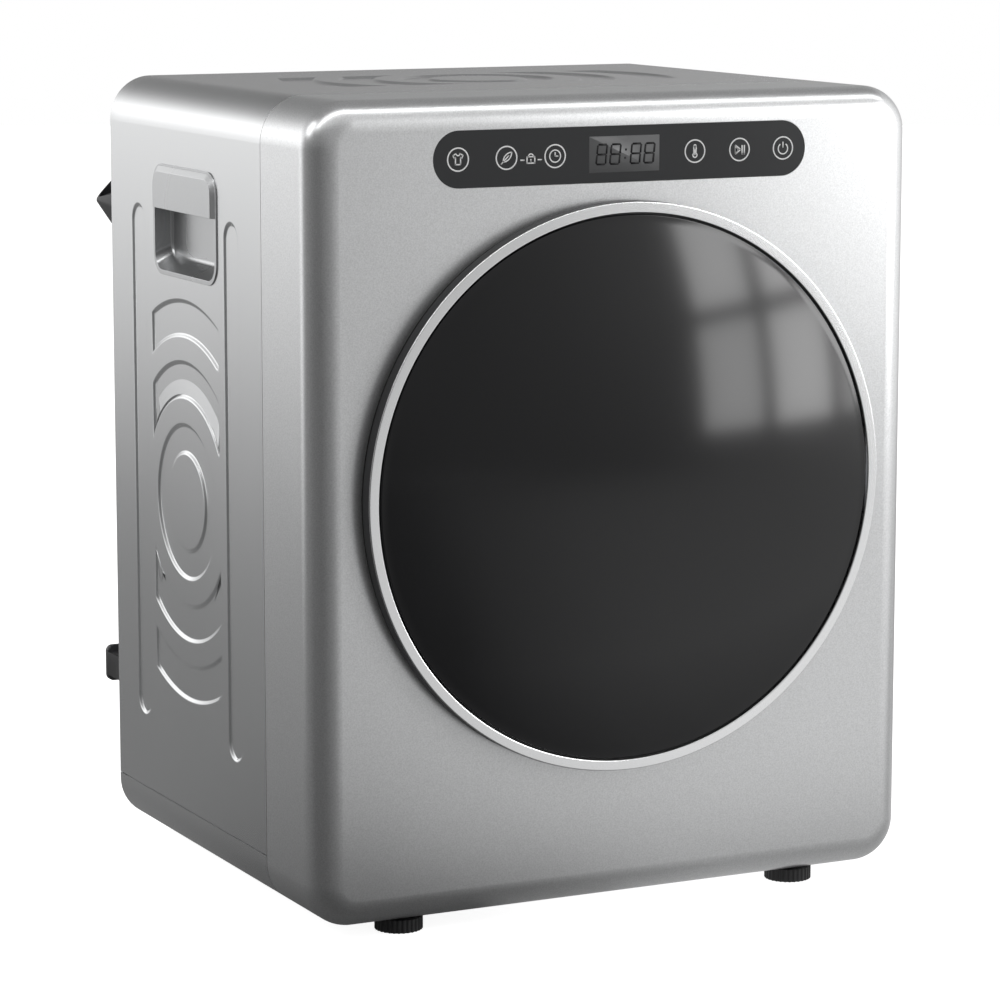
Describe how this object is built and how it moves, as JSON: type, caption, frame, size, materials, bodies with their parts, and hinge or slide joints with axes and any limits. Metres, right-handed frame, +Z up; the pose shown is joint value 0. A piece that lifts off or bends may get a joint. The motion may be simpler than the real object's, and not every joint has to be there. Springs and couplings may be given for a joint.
{
  "type": "clothes dryer",
  "caption": "Compact front-loading vented clothes dryer: silver cabinet, round domed black door in a proud ring, touch panel, belt-driven drum, lint filter, levelling feet and rear exhaust.",
  "frame": {"origin": "on the floor under the middle of the machine's bounding box, at the undersides of the feet", "axes": "+X to the right of a person facing the door, +Y from the door to the back, +Z up"},
  "size_m": [0.5022, 0.479, 0.611],
  "materials": {
    "silver_front": "silver metallic paint over moulded ABS, fine grain",
    "silver_steel": "silver grey powder paint on sheet steel",
    "zinc_steel": "galvanised sheet steel",
    "black_gloss": "polished black",
    "black_plastic": "moulded black plastic",
    "smoke_plastic": "smoke grey moulded bowl",
    "rubber_black": "black rubber",
    "foot_plastic": "black knurled plastic",
    "drum_steel": "stainless drum sheet",
    "white_plastic": "white moulded plastic",
    "machined_steel": "turned steel",
    "felt_grey": "pressed wool felt",
    "bearing_bronze": "sintered bronze bush",
    "heater_ceramic": "aluminium fins of a PTC heater",
    "thermostat_body": "brown phenolic",
    "duct_plastic": "grey moulded duct",
    "stator_steel": "laminated steel with windings",
    "board_green": "circuit board",
    "display_grey": "display face",
    "pad_foam": "conductive foam",
    "capacitor_shell": "enamelled can",
    "mesh_fabric": "fine woven lint mesh"
  },
  "bodies": {
    "cabinet": {"front_panel": "silver_front", "cabinet_wrap": "silver_steel", "base_pan": "silver_steel", "rear_panel": "zinc_steel", "side_handle_left": "silver_steel", "side_handle_right": "silver_steel", "front_bulkhead": "black_plastic", "door_seal": "rubber_black", "hinge_bracket": "zinc_steel", "hinge_pin": "machined_steel", "door_catch": "black_plastic", "door_switch": "black_plastic", "control_lens": "black_gloss", "control_housing": "black_plastic", "control_board": "board_green", "display_module": "display_grey", "touch_pads": "pad_foam", "drum_felts": "felt_grey", "rear_bulkhead": "zinc_steel", "drum_bearing": "bearing_bronze", "heater_housing": "zinc_steel", "heater_element": "heater_ceramic", "thermostats": "thermostat_body", "exhaust_duct": "duct_plastic", "exhaust_collar": "duct_plastic", "cord_hooks": "black_plastic", "cord_gland": "black_plastic", "lint_duct": "black_plastic", "blower_housing": "black_plastic", "motor_casing": "heater_ceramic", "motor_stator": "stator_steel", "motor_bearings": "machined_steel", "motor_bracket": "zinc_steel", "run_capacitor": "capacitor_shell", "drum_belt": "rubber_black", "idler_pivot": "zinc_steel", "idler_spring": "machined_steel", "case_screws": "machined_steel"},
    "door": {"door_ring": "silver_front", "door_lens": "black_gloss", "door_inner_frame": "black_plastic", "door_bowl": "smoke_plastic", "door_striker": "black_plastic", "hinge_leaf": "zinc_steel"},
    "drum": {"drum_shell": "drum_steel", "drum_back": "drum_steel", "drum_lifters": "white_plastic", "drum_shaft": "machined_steel"},
    "motor_rotor": {"motor_shaft": "machined_steel", "blower_wheel": "white_plastic", "motor_pulley": "machined_steel"},
    "idler_arm": {"idler_arm": "machined_steel"},
    "idler_pulley": {"idler_pulley": "white_plastic"},
    "lint_filter": {"lint_filter": "white_plastic", "lint_mesh": "mesh_fabric"},
    "switch_plunger": {"switch_plunger": "white_plastic"},
    "foot_front_left": {"foot_front_left": "foot_plastic"},
    "foot_front_right": {"foot_front_right": "foot_plastic"},
    "foot_rear_left": {"foot_rear_left": "foot_plastic"},
    "foot_rear_right": {"foot_rear_right": "foot_plastic"}
  },
  "joints": [
    {"name": "door_swing", "type": "hinge", "parent": "cabinet", "child": "door", "pos_m": [0.2045, -0.207, 0.3235], "axis": [0, 0, 1], "range_deg": [0, 110]},
    {"name": "drum_spin", "type": "hinge", "parent": "cabinet", "child": "drum", "pos_m": [0, 0.0025, 0.3235], "axis": [0, 1, 0], "continuous": true},
    {"name": "motor_spin", "type": "hinge", "parent": "cabinet", "child": "motor_rotor", "pos_m": [0.165, 0.0025, 0.078], "axis": [0, 1, 0], "continuous": true},
    {"name": "idler_swing", "type": "hinge", "parent": "cabinet", "child": "idler_arm", "pos_m": [0.058, 0.0935, 0.038], "axis": [0, 1, 0], "range_deg": [0, 8], "stiffness_Nm_per_rad": 1.2, "springref_deg": -14.32},
    {"name": "idler_spin", "type": "hinge", "parent": "idler_arm", "child": "idler_pulley", "pos_m": [0.1, 0.1055, 0.074], "axis": [0, 1, 0], "continuous": true},
    {"name": "filter_slide", "type": "slide", "parent": "cabinet", "child": "lint_filter", "axis": [0, 0, 1], "range_m": [0, 0.085]},
    {"name": "switch_travel", "type": "slide", "parent": "cabinet", "child": "switch_plunger", "axis": [0, -1, 0], "range_m": [0, 0.003]},
    {"name": "foot_front_left_adjust", "type": "slide", "parent": "cabinet", "child": "foot_front_left", "axis": [0, 0, -1], "range_m": [0, 0.01]},
    {"name": "foot_front_right_adjust", "type": "slide", "parent": "cabinet", "child": "foot_front_right", "axis": [0, 0, -1], "range_m": [0, 0.01]},
    {"name": "foot_rear_left_adjust", "type": "slide", "parent": "cabinet", "child": "foot_rear_left", "axis": [0, 0, -1], "range_m": [0, 0.01]},
    {"name": "foot_rear_right_adjust", "type": "slide", "parent": "cabinet", "child": "foot_rear_right", "axis": [0, 0, -1], "range_m": [0, 0.01]}
  ],
  "couplings": [
    {"joint": "motor_spin", "follows": "drum_spin", "ratio": 20.074},
    {"joint": "idler_spin", "follows": "drum_spin", "ratio": -13.722},
    {"joint": "switch_travel", "follows": "door_swing", "m_per_rad": 0.0015626}
  ]
}
